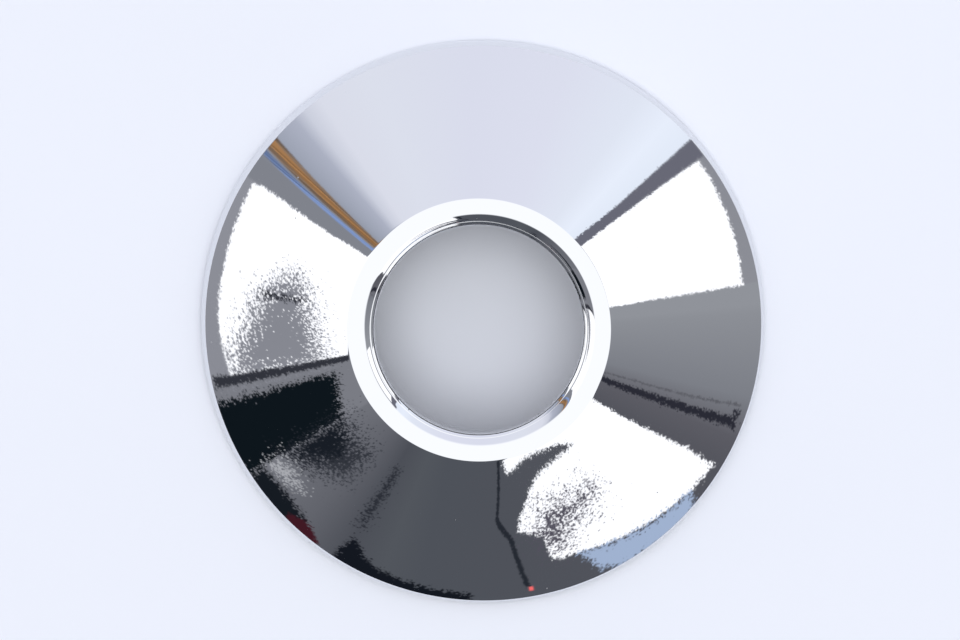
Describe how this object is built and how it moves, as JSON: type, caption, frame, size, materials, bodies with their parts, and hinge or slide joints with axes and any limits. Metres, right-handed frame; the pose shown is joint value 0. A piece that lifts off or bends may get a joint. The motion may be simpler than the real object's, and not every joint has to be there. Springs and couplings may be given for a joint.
{
  "type": "faucet escutcheon",
  "caption": "Round chrome escutcheon: a domed sheet-metal cone with a flat land and a lipped neck that covers the hole where a tap's pipe leaves the wall.",
  "frame": {"origin": "centre of the rim, in the plane of the wall", "axes": "+Z along the pipe, from the wall towards the tap; the part is round about Z, so X and Y are free, and lie to the right and to the top of the picture"},
  "size_m": [0.06, 0.06, 0.012],
  "materials": {
    "chrome_plate": "bright chrome plate on pressed sheet, satin on the hidden side"
  },
  "bodies": {
    "root": {"escutcheon": "chrome_plate"}
  },
  "joints": []
}
